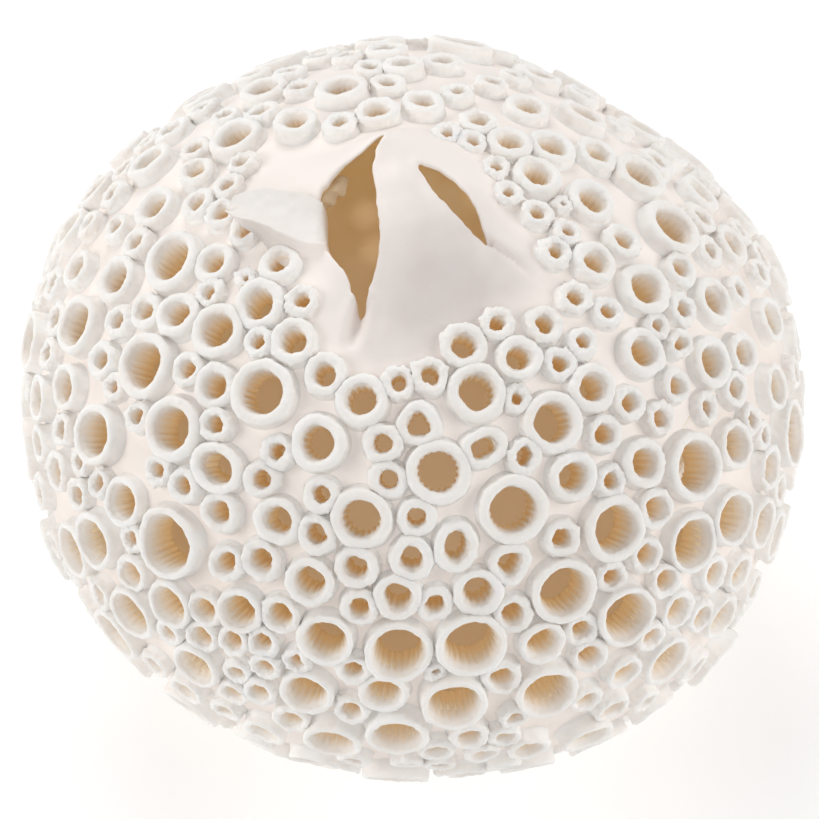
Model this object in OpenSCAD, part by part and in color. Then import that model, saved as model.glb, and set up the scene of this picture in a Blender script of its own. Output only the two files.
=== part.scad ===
// Flower frog: a hollow white porcelain orb with a flat foot. Raised barnacle-like
// collars stand round hundreds of stem holes, and the top is torn open into clay lobes.
// Z is up, the origin is the middle of the flat foot, and -Y is the front.

/* [Body] */
// widest diameter of the bare clay wall, without its barnacles
belly_d = 116; // [90:1:150]
// radius of the wall's upright curve at the belly
side_r = 36; // [28:0.5:42]
// how far the two cap curves are centred beyond the middle plane
cap_drop = 14; // [8:0.5:20]
// thickness of the clay wall
wall_t = 3.5; // [2.5:0.1:6]
// height of the widest line above the foot
belly_h = 40; // [34:0.5:44]

/* [Luted wall sections] */
// height of the seam between lower bowl and belly band
seam_low = 25.45; // [20:0.05:34]
// height of the seam between belly band and shoulder band
seam_mid = 50.05; // [44:0.05:60]
// height of the seam between shoulder band and crown dome
seam_high = 69.25; // [64:0.05:78]
// radius of the torn opening's root, where the crown lobes join the dome
crown_r = 17.5; // [12:0.5:22]

/* [Crown lobes] */
// thickness of the torn clay lobes at their roots
lobe_t = 2.2; // [1.4:0.1:3.5]
// thickness left at a torn edge
edge_t = 0.9; // [0.5:0.1:1.6]
// steps along each lobe
lobe_rows = 12; // [6:1:18]
// steps across each lobe
lobe_cols = 8; // [4:1:12]

/* [Barnacles] */
// share of a listed diameter that the collar's foot takes up on the wall
foot_share = 0.97; // [0.85:0.01:1]
// thickness of a collar between its outside and its bore
rim_w = 1.75; // [1.2:0.05:2]
// height of the smallest possible collar above the wall
stand_base = 1.1; // [0.8:0.1:2]
// extra height for each millimetre of foot radius
stand_gain = 0.22; // [0.1:0.01:0.5]
// radius of the rounded lip on every large collar
lip_r = 0.55; // [0.35:0.05:0.7]
// clay around the bore where a collar plugs through the wall
plug_w = 0.6; // [0.4:0.05:1]
// least clay left between a crowded collar's foot and its bore
foot_w = 0.8; // [0.6:0.05:1.2]
// bare gap kept between two neighbouring collars
bare_gap = 0.15; // [0.1:0.05:0.6]
// feet at least this wide make deep fluted cups
cup_d = 7; // [6.4:0.1:8]
// feet at least this wide, and narrower than a cup, make plain rings
ring_d = 5; // [4.6:0.1:5.8]

/* [Hidden] */
side_x = belly_d / 2 - side_r;
cap_r = side_r + norm([side_x, cap_drop]);
turn_el = atan2(cap_drop, side_x);
porcelain = [0.95, 0.93, 0.91];
bisque = [0.90, 0.86, 0.83];
edge_clay = [0.97, 0.96, 0.95];
far = 200;

// ---- The wall: a four-centred oval turned about Z ----

// Half of the oval's section, shrunk by t all round: two caps, and a round side curve
// that touches both of them at turn_x.
module oval(t) {
  turn_x = (cap_r - t) * cos(turn_el);
  intersection() {
    translate([0, -cap_drop]) circle(r = cap_r - t, $fn = 180);
    translate([0, cap_drop]) circle(r = cap_r - t, $fn = 180);
    translate([0, -far]) square([turn_x, 2 * far]);
  }
  intersection() {
    translate([side_x, 0]) circle(r = side_r - t, $fn = 120);
    translate([side_x, -far]) square([far, 2 * far]);
  }
}

// One luted section of the wall between two heights, turned about Z.
// floor_t closes the bottom, and mouth_r opens the top.
module wall_ring(z0, z1, floor_t = 0, mouth_r = 0) {
  rotate_extrude($fn = 120) intersection() {
    translate([mouth_r, z0]) square([far, z1 - z0]);
    difference() {
      translate([0, belly_h]) oval(0);
      intersection() {
        translate([0, belly_h]) oval(wall_t);
        translate([0, z0 + floor_t]) square([far, far]);
      }
    }
  }
}

// Puts its children on the wall at a longitude and a slope, both in degrees.
// Their +Z points straight out of the clay, with 0 on the outer face.
module on_wall(lon, el) {
  c = wall_centre(el);
  rotate([0, 0, lon - 90]) translate([c[0], 0, c[1] + belly_h]) rotate([0, 90 - el, 0])
    translate([0, 0, c[2]]) children();
}

// Centre and radius of the arc that the wall follows at a slope: [x, z, radius].
function wall_centre(el) = el > turn_el ? [0, -cap_drop, cap_r]
  : el < -turn_el ? [0, cap_drop, cap_r] : [side_x, 0, side_r];

// The point on the bare wall at a longitude and a slope.
function wall_point(lon, el) = let(c = wall_centre(el), x = c[0] + c[2] * cos(el))
  [x * sin(lon), -x * cos(lon), c[1] + c[2] * sin(el) + belly_h];

// Height of the bare dome at a distance from the axis.
function dome_z(r) = belly_h - cap_drop + sqrt(cap_r * cap_r - r * r);

// ---- Where the barnacles sit: [longitude, slope, diameter] ----
// Longitude 0 is the front and grows to the right. Slope 0 faces sideways, 90 straight up.

ringed_crown = [
  [20.5, 71, 6.8], [6, 68, 5.4], [-4.5, 67.2, 5], [-14.5, 64.3, 7.5], [-28, 66, 6.2],
  [-43, 67.5, 6.9], [-51.5, 64.5, 4.9], [-52, 72, 4.8], [-62, 67.5, 7.9], [-73, 72, 6],
  [-93, 68, 5.2], [-84, 63.3, 6.8], [-73.5, 67.2, 4], [-75, 62, 4.7], [-63, 61, 8.6],
  [-41, 60, 9.6], [2, 62, 6.8], [19.5, 64.8, 8.7], [29.8, 62.2, 4.8], [36.5, 66.7, 6.5],
  [37, 71.7, 4.9], [51, 67.8, 5.4], [46, 63, 4.9], [55, 62.7, 4.5], [66, 66.7, 4.8],
  [68, 62, 4.6], [80, 71, 4.8], [81, 65.8, 6.5], [90.5, 69.6, 4.1], [98, 73.5, 4.8],
  [103.5, 69.5, 3.8], [105, 65.2, 7.4], [112, 76.5, 4.2], [117.5, 71.5, 7.1], [129, 65.5, 7.4],
  [130, 75.5, 4.1], [138, 70.5, 7], [150, 74, 4.4], [154, 69.5, 5.7], [163, 74, 4.4],
  [166, 64, 4.8], [176, 68, 6.3], [-167, 69.5, 6.5], [-152, 69.5, 5], [-160, 61.5, 8],
  [-141, 64.8, 6.5], [-121, 63, 4.6], [-111.5, 63, 4.6]
];
ringed_shoulder = [
  [-52, 56.5, 6.6], [-7, 59.5, 5.5], [-46, 53, 5.1], [-30.5, 54.5, 5.4], [-22.5, 57.7, 8.1],
  [-5, 55, 5.5], [6, 56, 9.8], [1, 50.5, 5.5], [-9.8, 49.8, 8.9], [-18.5, 51.5, 5.3],
  [-31.5, 50.5, 5.8], [-25, 46.5, 7.3], [-17.5, 46.5, 6.2], [0, 45.3, 6.4], [-9.5, 43.5, 6.2],
  [8, 46.5, 6.8], [-36, 44, 6.2], [-26, 40.7, 6.1], [-17, 40.3, 7.2], [-2.3, 40.2, 7.3],
  [3.8, 39.2, 5.8], [17, 58, 6.8], [25.5, 55.2, 5.9], [35, 57.5, 9.5], [20, 49.5, 10],
  [33.5, 50.3, 7.2], [44, 52.5, 5.4], [40, 47, 4.9], [47.5, 46, 7.2], [27, 43.8, 5.5],
  [36.5, 41.5, 9.7], [17, 42.8, 6.5], [11, 40, 7.5], [45, 40, 6.1], [55.5, 40, 10],
  [48, 58, 7], [53, 53, 5], [56.3, 48.3, 5], [64.5, 55.3, 7.4], [72.5, 55, 4.6],
  [71.8, 51.2, 4.2], [64, 49, 5.2], [73.5, 45.3, 7.6], [65.5, 43.2, 4.6], [80, 58, 8.2],
  [80, 52, 4.9], [89.3, 52.8, 5.4], [86, 46.8, 7.4], [91.5, 61.8, 5.5], [100, 53.5, 9.4],
  [97.5, 46.8, 5], [105.5, 46.5, 5.4], [115, 54.7, 8.8], [122.5, 59.5, 6.7], [120.5, 48, 6],
  [137, 53.5, 8], [146, 61, 7], [-178, 57, 6.4], [-170, 56, 5.2], [-152, 56, 5],
  [-146, 51.5, 7.5], [-139.5, 57.5, 5], [-135, 52, 5], [-129, 58.3, 8.4], [-123.5, 53, 5],
  [-120, 45.5, 7.5], [-116, 56.5, 5.5], [-106.5, 52, 7], [-105.5, 59.5, 5.3],
  [-104, 45.5, 4.8], [-98, 50.5, 5.3], [-90.5, 47.8, 7.6], [-89, 57.2, 10], [-81, 47.5, 5],
  [-79.5, 52.3, 5.6], [-76, 43.3, 5.6], [-73.5, 57, 7], [-69.5, 44, 4.7], [-68, 49.8, 10.2],
  [-61, 45.2, 4.7], [-60, 55, 5.3], [-53, 48.5, 9.8], [-50.5, 43, 5.1], [-44.5, 44, 5.2],
  [-40.5, 48.7, 8]
];
ringed_belly = [
  [-31.5, 38.3, 5.4], [-27, 33, 7.2], [-20.7, 34.5, 5.9], [-13, 33, 8.2], [-8.4, 38.2, 5.5],
  [-2, 32.3, 10.4], [9, 33, 10.6], [16, 36, 6.1], [24.7, 37, 9.6], [33, 35.8, 4.9],
  [39.7, 35.8, 5.3], [19.5, 30, 6.6], [26, 29.6, 5.2], [33, 28, 9.7], [41.3, 29, 5.8],
  [48, 32.3, 9.7], [56.5, 28, 8.9], [65, 36, 7.4], [72.8, 40, 5.5], [79.8, 40.3, 6.3],
  [71, 35, 4.6], [71.5, 30, 4.4], [80, 31, 7], [91, 34, 7], [92, 41.5, 4.6],
  [101.5, 41.5, 6.6], [113, 43, 7], [-117, 34, 7], [-113, 41.5, 5], [-98, 39, 6.2],
  [-86, 40, 9], [-77, 35.5, 7], [-72, 31, 4.8], [-65, 38, 9.2], [-65, 32.5, 4.5],
  [-59, 34, 4.4], [-61.5, 27, 4.8], [-53, 35.5, 7.6], [-48.5, 32.5, 4.8], [-42, 36.2, 10.3],
  [-81, 24, 7], [-54.5, 23, 8.9], [-46, 25.3, 5.9], [-38, 25.5, 7.8], [-32.4, 29.5, 5.8],
  [-32, 21.5, 5.4], [-27, 25, 5.4], [-22.5, 27.8, 4.8], [-21.5, 21.2, 4.6], [-17, 25.5, 5],
  [-8.5, 26.5, 5], [3.5, 26.8, 4], [13, 23.3, 5.7], [26.3, 22, 5.4], [36, 18.7, 5.3],
  [41.5, 20, 6.2], [49.5, 20.4, 5.8], [69, 23, 6.7], [62, 16, 7.9], [-4, 20.5, 7.7],
  [6, 18.2, 10.2], [19.2, 16.5, 10.4], [-15, 17.5, 8.6], [-25.7, 16, 4.6], [-37.3, 17, 5],
  [-44, 14.5, 8.8], [-58.5, 12, 8.8], [-32, 12, 8], [-22, 12.8, 5.1], [-8.5, 14, 5.2],
  [31, 12.5, 5.8], [45, 13, 5.2], [-26, 8.5, 5], [-17, 6.5, 5.6], [-2, 7.5, 9.3],
  [8, 5.5, 5.6], [14.5, 10.2, 5.2], [25, 9, 5], [38, 8, 8.3], [48.7, 6.5, 7.2],
  [13, 3.2, 4.8], [-11, 2.5, 8.6], [28.8, 1.5, 5.8], [3.5, -1, 5.8], [16.5, -4.5, 6.4],
  [90, 0, 9.8], [-90, 0, 9.8], [180, 0, 9.8]
];

// ---- The rest of the wall is filled by a rule, largest collars first ----
// Each row: [feet diameter, spread of diameters, how many places are tried].
fill_sizes = [[9.8, 1.4, 80], [7.8, 1, 130], [6.2, 0.8, 380], [5, 0.6, 1500]];
fill_el_min = -47;
fill_el_max = 66;
golden_angle = 137.508;

// A repeatable share between 0 and 1 for whole number i.
function share(i) = let(s = sin(i * 78.233 + 12.99) * 437.58) s - floor(s);

// Place i of n on a spiral that covers the wall evenly, at a row of fill_sizes.
function spiral_place(i, n, size) = let(
    low = sin(fill_el_min), high = sin(fill_el_max),
    el = asin(low + (high - low) * (i + 0.5) / n),
    lon = (i * golden_angle) % 360 - 180)
  [lon, el, size[0] + size[1] * (share(i) - 0.5)];

// A barnacle with its wall point worked out: [longitude, slope, diameter, point].
function placed(b) = [b[0], b[1], b[2] * foot_share, wall_point(b[0], b[1])];

// True if barnacle b clears every one already there.
function clears(b, there) =
  len([for (a = there) if (norm(a[3] - b[3]) < (a[2] + b[2]) / 2 + bare_gap) 1]) == 0;

// Adds the places of one size, one after another, wherever they clear the rest.
function filled(there, size, i = 0) = i >= size[2] ? there
  : let(b = placed(spiral_place(i, size[2], size)))
    filled(clears(b, there) ? concat(there, [b]) : there, size, i + 1);

// Runs through every row of fill_sizes.
function filled_all(there, k = 0) = k >= len(fill_sizes) ? there
  : filled_all(filled(there, fill_sizes[k]), k + 1);

read_places = [for (b = concat(ringed_crown, ringed_shoulder, ringed_belly)) placed(b)];
places = filled_all(read_places);

// Crowded neighbours each give up half of their overlap, and keep their bores.
// Result: [longitude, slope, foot diameter, height of the foot, uncrowded diameter].
function squeezed(b) = let(over = max([0, for (a = places) let(d = norm(a[3] - b[3]))
    if (d > 0.01 && d < 12) (a[2] + b[2]) / 2 + bare_gap - d]))
  [b[0], b[1], b[2] - over, b[3][2], b[2]];
barnacles = [for (b = places) squeezed(b)];

// ---- One barnacle, made for its place on the wall ----
function foot_r(b) = b[2] / 2;
function bore_r(b) =
  min(max(0.45 * b[4] / 2, b[4] / 2 - rim_w), foot_r(b) - foot_w);
function plug_r(b) = min(bore_r(b) + plug_w, foot_r(b) - 0.1);
// a narrow collar has a finer lip
function lip(b) = min(lip_r, 0.2 * foot_r(b));
function stand(b) = stand_base + stand_gain * foot_r(b);
// how far the wall curves away under the collar's foot
function droop(b) = foot_r(b) * foot_r(b) / (2 * cap_r);

// A turned collar with a rounded lip, its bore opening outwards like a cup,
// and a plug that fills the hole in the wall.
module barnacle(b) {
  lip_x = 0.92 * foot_r(b) - lip(b);
  lip_z = stand(b) - lip(b);
  rotate_extrude($fn = 32) {
    polygon([
      [bore_r(b), -wall_t], [plug_r(b), -wall_t], [plug_r(b), 0], [foot_r(b), -droop(b)],
      [lip_x + lip(b), lip_z], [lip_x - lip(b), lip_z], [bore_r(b), 0.4]
    ]);
    translate([lip_x, lip_z]) circle(r = lip(b), $fn = 24);
  }
}

// All barnacles between two heights whose feet lie between two diameters.
module barnacles_in(z0, z1, d0, d1) {
  for (b = barnacles)
    if (b[3] >= z0 && b[3] < z1 && b[2] >= d0 && b[2] < d1) on_wall(b[0], b[1]) barnacle(b);
}

// The holes that the barnacles' plugs fill, near one section of the wall.
module plug_holes(z0, z1) {
  for (b = barnacles)
    if (b[3] > z0 - foot_r(b) - 1 && b[3] < z1 + foot_r(b) + 1)
      on_wall(b[0], b[1]) translate([0, 0, -wall_t - 1])
        cylinder(r = plug_r(b), h = wall_t + 2, $fn = 32);
}

// ---- Crown lobes: thin curved sheets between two edges ----

// A smooth curve through the points of a list, at share t of its length.
function along(p, t) = let(
    n = len(p) - 1, s = min(t * n, n - 0.0001), k = floor(s), f = s - k,
    a = p[max(k - 1, 0)], b = p[k], c = p[k + 1], d = p[min(k + 2, n)])
  b + 0.5 * f * (c - a + f * (2 * a - 5 * b + 4 * c - d + f * (3 * (b - c) + d - a)));

// The rim that the lobes grow from, between two longitudes, at share t.
function rim_point(lon0, lon1, t) = let(lon = lon0 + (lon1 - lon0) * t)
  [crown_r * sin(lon), -crown_r * cos(lon), dome_z(crown_r)];

// A closed sheet from two grids of points, top face and under face.
module sheet(top, under) {
  nv = len(top);
  nu = len(top[0]);
  count = nv * nu;
  points = concat([for (row = top) for (p = row) p], [for (row = under) for (p = row) p]);
  top_faces = [for (v = [0:nv - 2]) for (u = [0:nu - 2]) let(a = v * nu + u)
    each [[a, a + nu, a + 1], [a + 1, a + nu, a + nu + 1]]];
  under_faces = [for (f = top_faces) [f[0] + count, f[2] + count, f[1] + count]];
  border = concat([for (u = [0:nu - 2]) u], [for (v = [0:nv - 2]) v * nu + nu - 1],
    [for (u = [nu - 1:-1:1]) (nv - 1) * nu + u], [for (v = [nv - 1:-1:1]) v * nu]);
  edge_faces = [for (k = [0:len(border) - 1]) let(a = border[k], b = border[(k + 1) % len(border)])
    each [[a, b, b + count], [a, b + count, a + count]]];
  polyhedron(points = points, faces = concat(top_faces, under_faces, edge_faces), convexity = 6);
}

// A lobe from a root curve to a torn edge, bulging by rise between them.
// The clay thins from lobe_t at the root to edge_t at the torn edge.
module lobe(root, torn, rise) {
  reach = [for (u = [0:lobe_cols]) 1 - u / lobe_cols];
  top = [for (v = [0:lobe_rows]) [for (f = reach)
    let(a = root[v], b = torn[v])
    a + (b - a) * f + [0, 0, rise * sin(180 * f) * sin(90 + 60 * (v / lobe_rows - 0.5))]]];
  under = [for (row = top) [for (u = [0:lobe_cols])
    row[u] - [0, 0, lobe_t + (edge_t - lobe_t) * reach[u]]]];
  sheet(top, under);
}
function steps(t0 = 0, t1 = 1) = [for (v = [0:lobe_rows]) t0 + (t1 - t0) * v / lobe_rows];

// The torn edges of the lobes, point by point in whole and half millimetres.
peak = [-4, 11, 92.5];
front_left_edge = [[-7.5, -16, 84.5], [-7, -13, 86], [-5, -6.5, 88.5], [-5, 1.5, 90.5], peak];
front_right_edge = [[15.5, -8, 84.5], [13, -7, 86.5], [10.5, -5, 88.5], [6, -0.5, 90.5], [2.5, 4, 91.5],
                    [-1.5, 9.5, 92.5]];
right_edge = [[15.5, -6.5, 85], [13, -5.5, 86], [11, -2.5, 87.5], [9, 2.5, 88.5], [6.5, 5, 89.5],
              [2.5, 8.5, 90.5], [-1, 11.5, 92]];
back_edge = [[-2.5, 12.5, 92], [-6, 12, 90], [-9.5, 10.5, 89], [-12, 7.5, 88], [-13.5, 4.5, 87.5]];
left_edge = [[-14, 3.5, 87.5], [-13.5, -0.5, 87.5], [-12.5, -3.5, 87], [-11, -7.5, 87], [-9, -11.5, 86],
             [-8, -15.5, 84.5]];
leaf_low_edge = [[-13.5, -2.5, 88], [-17.5, -1, 88.5], [-22.5, 0.5, 88], [-26, 2.5, 88]];
leaf_high_edge = [[-13.5, 3.5, 88.5], [-16.5, 5.5, 89], [-20.5, 6, 89], [-26, 3.5, 88.5]];

module front_petal() {
  rows = [for (v = [0:lobe_rows]) [for (u = [0:lobe_cols])
    let(t = v / lobe_rows, f = u / lobe_cols,
      a = along(front_left_edge, t), b = along(front_right_edge, t),
      bow = rim_point(-24.7, 62.4, f) - (front_left_edge[0] * (1 - f) + front_right_edge[0] * f))
    a + (b - a) * f + bow * pow(1 - t, 2) + [0, 0, 1.6 * sin(180 * f) * sin(180 * t)]]];
  under = [for (v = [0:lobe_rows]) [for (u = [0:lobe_cols])
    let(side = abs(2 * u / lobe_cols - 1))
    rows[v][u] - [0, 0, lobe_t + (edge_t - lobe_t) * max(pow(side, 3), v / lobe_rows)]]];
  color(porcelain) sheet(rows, under);
}
module right_flap() {
  color(porcelain) lobe([for (t = steps()) rim_point(66, 176, t)],
    [for (t = steps()) along(right_edge, t)], 1.6);
}
module back_lip() {
  color(porcelain) lobe([for (t = steps()) rim_point(180, 262, t)],
    [for (t = steps()) along(back_edge, t)], 1.2);
}
module left_shoulder() {
  color(porcelain) lobe([for (t = steps()) rim_point(266, 331, t)],
    [for (t = steps()) along(left_edge, t)], 0.6);
}
// The flap torn out of the opening and folded outwards over the left shoulder.
module left_petal() {
  color(edge_clay) lobe([for (t = steps()) along(leaf_high_edge, t)],
    [for (t = steps()) along(leaf_low_edge, t)], 1.4);
}

// ---- Wall sections ----
top_h = belly_h - cap_drop + cap_r;
module lower_bowl() {
  color(bisque) difference() { wall_ring(0, seam_low, wall_t); plug_holes(0, seam_low); }
}
module belly_band() {
  color(bisque) difference() { wall_ring(seam_low, seam_mid); plug_holes(seam_low, seam_mid); }
}
module shoulder_band() {
  color(bisque) difference() { wall_ring(seam_mid, seam_high); plug_holes(seam_mid, seam_high); }
}
module crown_dome() {
  color(bisque) difference() {
    wall_ring(seam_high, top_h, 0, crown_r);
    plug_holes(seam_high, top_h);
  }
}

// ---- Barnacles by wall section and kind ----
module lower_cups() { color(porcelain) barnacles_in(0, seam_low, cup_d, far); }
module lower_rings() { color(porcelain) barnacles_in(0, seam_low, ring_d, cup_d); }
module lower_pores() { color(porcelain) barnacles_in(0, seam_low, 0, ring_d); }
module belly_cups() { color(porcelain) barnacles_in(seam_low, seam_mid, cup_d, far); }
module belly_rings() { color(porcelain) barnacles_in(seam_low, seam_mid, ring_d, cup_d); }
module belly_pores() { color(porcelain) barnacles_in(seam_low, seam_mid, 0, ring_d); }
module shoulder_cups() { color(porcelain) barnacles_in(seam_mid, seam_high, cup_d, far); }
module shoulder_rings() { color(porcelain) barnacles_in(seam_mid, seam_high, ring_d, cup_d); }
module shoulder_pores() { color(porcelain) barnacles_in(seam_mid, seam_high, 0, ring_d); }
module crown_cups() { color(porcelain) barnacles_in(seam_high, far, cup_d, far); }
module crown_rings() { color(porcelain) barnacles_in(seam_high, far, ring_d, cup_d); }
module crown_pores() { color(porcelain) barnacles_in(seam_high, far, 0, ring_d); }

lower_bowl();
belly_band();
shoulder_band();
crown_dome();
front_petal();
right_flap();
back_lip();
left_shoulder();
left_petal();
lower_cups();
lower_rings();
lower_pores();
belly_cups();
belly_rings();
belly_pores();
shoulder_cups();
shoulder_rings();
shoulder_pores();
crown_cups();
crown_rings();
crown_pores();
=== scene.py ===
import math

import bpy
import numpy as np
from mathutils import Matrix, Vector, geometry


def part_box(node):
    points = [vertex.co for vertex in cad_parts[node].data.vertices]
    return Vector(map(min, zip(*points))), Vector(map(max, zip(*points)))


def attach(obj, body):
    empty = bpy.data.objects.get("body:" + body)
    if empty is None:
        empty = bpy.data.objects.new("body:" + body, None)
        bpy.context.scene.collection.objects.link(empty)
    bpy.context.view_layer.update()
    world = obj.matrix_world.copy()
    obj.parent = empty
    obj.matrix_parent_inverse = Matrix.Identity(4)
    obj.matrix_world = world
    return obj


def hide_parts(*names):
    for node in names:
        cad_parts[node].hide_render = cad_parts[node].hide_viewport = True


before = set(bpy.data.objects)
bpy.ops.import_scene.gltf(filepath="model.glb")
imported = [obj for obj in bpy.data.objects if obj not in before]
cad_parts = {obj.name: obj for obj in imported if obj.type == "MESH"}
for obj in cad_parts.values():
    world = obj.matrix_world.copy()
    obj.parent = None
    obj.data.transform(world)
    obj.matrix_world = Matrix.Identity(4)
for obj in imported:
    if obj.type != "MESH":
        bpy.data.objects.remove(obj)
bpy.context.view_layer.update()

# Everything is worked out in millimetres and turned into metres when a mesh is made.
MM = 0.001

# The bare wall's profile, as in the CAD model: two cap arcs and a side arc.
CENTRE_Z = 40.0
SIDE_X = 22.0
SIDE_R = 36.0
CAP_DROP = 14.0
CAP_R = SIDE_R + math.hypot(SIDE_X, CAP_DROP)
TURN = math.atan2(CAP_DROP, SIDE_X)
WALL_T = 3.5
FLOOR_T = 3.5
SEAM_LOW, SEAM_MID, SEAM_HIGH = (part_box(n)[1].z / MM for n in ("lower_bowl", "belly_band", "shoulder_band"))


# ---------------------------------------- noise and warp

def lattice(ix, iy, iz, seed):
    h = (ix * 374761393 + iy * 668265263 + iz * 2147483647 + seed * 1274126177) & 0xFFFFFFFF
    h = ((h ^ (h >> 13)) * 1103515245) & 0xFFFFFFFF
    h = ((h ^ (h >> 16)) * 668265263) & 0xFFFFFFFF
    return ((h ^ (h >> 15)) & 0xFFFFFF) / float(0xFFFFFF) * 2 - 1


def noise(p, size, seed):
    """Smooth noise from -1 to 1 at an N x 3 array of points, with features of a size in mm."""
    q = np.asarray(p, float) / size
    i = np.floor(q).astype(np.int64)
    f = q - i
    f = f * f * f * (f * (f * 6 - 15) + 10)
    total = np.zeros(len(q))
    for dx in (0, 1):
        for dy in (0, 1):
            for dz in (0, 1):
                w = (f[:, 0] if dx else 1 - f[:, 0]) * (f[:, 1] if dy else 1 - f[:, 1])
                w = w * (f[:, 2] if dz else 1 - f[:, 2])
                total += w * lattice(i[:, 0] + dx, i[:, 1] + dy, i[:, 2] + dz, seed)
    return total


# Places where the hand-built orb swells or sinks: longitude, slope, millimetres, tightness.
SWELLS = ((52, -24, 1.6, 6), (-48, -28, -0.9, 7), (95, 5, 0.5, 5), (-100, 20, 0.5, 5),
          (20, 40, 0.4, 9), (-30, 45, -0.3, 9), (150, 30, 0.8, 5), (-150, -10, 0.9, 5),
          (140, 20, -2, 15), (105, 10, 1, 12), (75, 0, -1, 12), (-115, 15, 1, 8), (-85, 0, -1, 15))


def warp(p):
    """Moves points off the turned shape, because the orb was pressed by hand."""
    p = np.asarray(p, float)
    c = p - np.array([0, 0, CENTRE_Z])
    far = np.linalg.norm(c, axis=1)
    d = c / np.maximum(far, 1e-6)[:, None]
    push = np.zeros(len(p))
    for lon, el, mm, tight in SWELLS:
        push += mm * np.exp(tight * (d @ normal_at(math.radians(lon), math.radians(el)) - 1))
    push += 0.55 * noise(d * 50, 30, 5) + 0.25 * noise(d * 50, 14, 6)
    foot = np.clip(p[:, 2] / 14, 0, 1)
    return p + d * (push * foot * foot * (3 - 2 * foot) * np.clip(far / 40, 0, 1))[:, None]


# ---------------------------------------- mesh helpers

def make_object(name, verts, faces, materials, face_material=None, depth=None):
    """A mesh object from millimetre points and an array of quads or of triangles."""
    faces = np.asarray(faces, np.int32)
    verts = np.asarray(verts, np.float32) * MM
    count, sides = faces.shape
    me = bpy.data.meshes.new(name)
    me.vertices.add(len(verts))
    me.vertices.foreach_set("co", verts.ravel())
    me.loops.add(count * sides)
    me.loops.foreach_set("vertex_index", faces.ravel())
    me.polygons.add(count)
    me.polygons.foreach_set("loop_start", np.arange(0, count * sides, sides, dtype=np.int32))
    me.polygons.foreach_set("use_smooth", np.ones(count, bool))
    for m in materials:
        me.materials.append(m)
    if face_material is not None:
        me.polygons.foreach_set("material_index", np.asarray(face_material, np.int32))
    me.update(calc_edges=True)
    me.validate()
    if depth is not None:
        layer = me.attributes.new("depth", "FLOAT", "POINT")
        layer.data.foreach_set("value", np.asarray(depth, np.float32))
    ob = bpy.data.objects.new(name, me)
    bpy.context.scene.collection.objects.link(ob)
    return ob


def loop_grid(rows, cols):
    """Quads of a grid that is closed both ways."""
    r, c = np.meshgrid(np.arange(rows), np.arange(cols), indexing="ij")
    a = r * cols + c
    b = r * cols + (c + 1) % cols
    d = ((r + 1) % rows) * cols + c
    e = ((r + 1) % rows) * cols + (c + 1) % cols
    return np.stack([a, b, e, d], -1).reshape(-1, 4)


# ---------------------------------------- where the collars are

def arc_at(el):
    """The arc that the wall follows at a slope: its centre's radius and height, and its own radius."""
    if el > TURN:
        return 0, -CAP_DROP, CAP_R
    if el < -TURN:
        return 0, CAP_DROP, CAP_R
    return SIDE_X, 0, SIDE_R


def slope_of(point):
    """Longitude and slope of the wall normal that passes through a point."""
    rho, z = math.hypot(point[0], point[1]), point[2] - CENTRE_Z
    lon = math.atan2(point[0], -point[1])
    arcs = ((0, -CAP_DROP, TURN, 2), (0, CAP_DROP, -2, -TURN), (SIDE_X, 0, -2, 2))
    for centre_x, centre_z, low, high in arcs:
        el = math.atan2(z - centre_z, rho - centre_x)
        if low <= el <= high:
            return lon, el
    return lon, el


def profile_point(el, inset=0.0):
    """Radius and height of the wall's section at a slope, on the outer face or inset from it."""
    cx, cz, r = arc_at(el)
    return cx + (r - inset) * math.cos(el), CENTRE_Z + cz + (r - inset) * math.sin(el)


def normal_at(lon, el):
    return np.array([math.cos(el) * math.sin(lon), -math.cos(el) * math.cos(lon), math.sin(el)])


def wall_point(lon, el):
    x, z = profile_point(el)
    return np.array([x * math.sin(lon), -x * math.cos(lon), z])


def islands(ob):
    """The separate solids of a CAD node, as arrays of points in mm."""
    me = ob.data
    co = np.zeros(len(me.vertices) * 3)
    me.vertices.foreach_get("co", co)
    co = co.reshape(-1, 3) / MM
    # coincident corners count as one
    key = np.round(co * 500).astype(np.int64)
    _, same = np.unique(key, axis=0, return_inverse=True)
    same = same.ravel()
    parent = np.arange(same.max() + 1)
    edges = np.zeros(len(me.edges) * 2, np.int64)
    me.edges.foreach_get("vertices", edges)
    edges = same[edges.reshape(-1, 2)]
    while True:
        low = np.minimum(parent[edges[:, 0]], parent[edges[:, 1]])
        before = parent.copy()
        np.minimum.at(parent, edges[:, 0], low)
        np.minimum.at(parent, edges[:, 1], low)
        parent = parent[parent]
        if (parent == before).all():
            break
    label = parent[same]
    return [co[label == k] for k in np.unique(label)]


def read_collars(node):
    """Every collar of a CAD node: where it stands, its radii and its height."""
    found = []
    for pts in islands(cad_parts[node]):
        lon, el = slope_of((pts.min(0) + pts.max(0)) / 2)
        for _ in range(6):
            n = normal_at(lon, el)
            e1 = np.array([math.cos(lon), math.sin(lon), 0.0])
            e2 = np.cross(n, e1)
            p = wall_point(lon, el)
            u, v, h = (pts - p) @ e1, (pts - p) @ e2, (pts - p) @ n
            # a turned solid is as wide to one side of its axis as to the other
            mid = p + e1 * (u.max() + u.min()) / 2 + e2 * (v.max() + v.min()) / 2
            lon, el = slope_of(mid)
        r = np.hypot(u, v)
        # the bores of the lower back wall stop short of the inside
        lon_deg, el_deg = math.degrees(lon), math.degrees(el)
        blind = abs(lon_deg) > 158 and -46 < el_deg < -4
        found.append(dict(lon=lon, el=el, lon_deg=lon_deg, el_deg=el_deg, p=p, n=n, blind=blind,
                          foot=r.max(), bore=r.min(), high=h.max()))
    found.sort(key=lambda b: (round(b["el"], 3), round(b["lon"], 3)))
    return found


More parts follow.
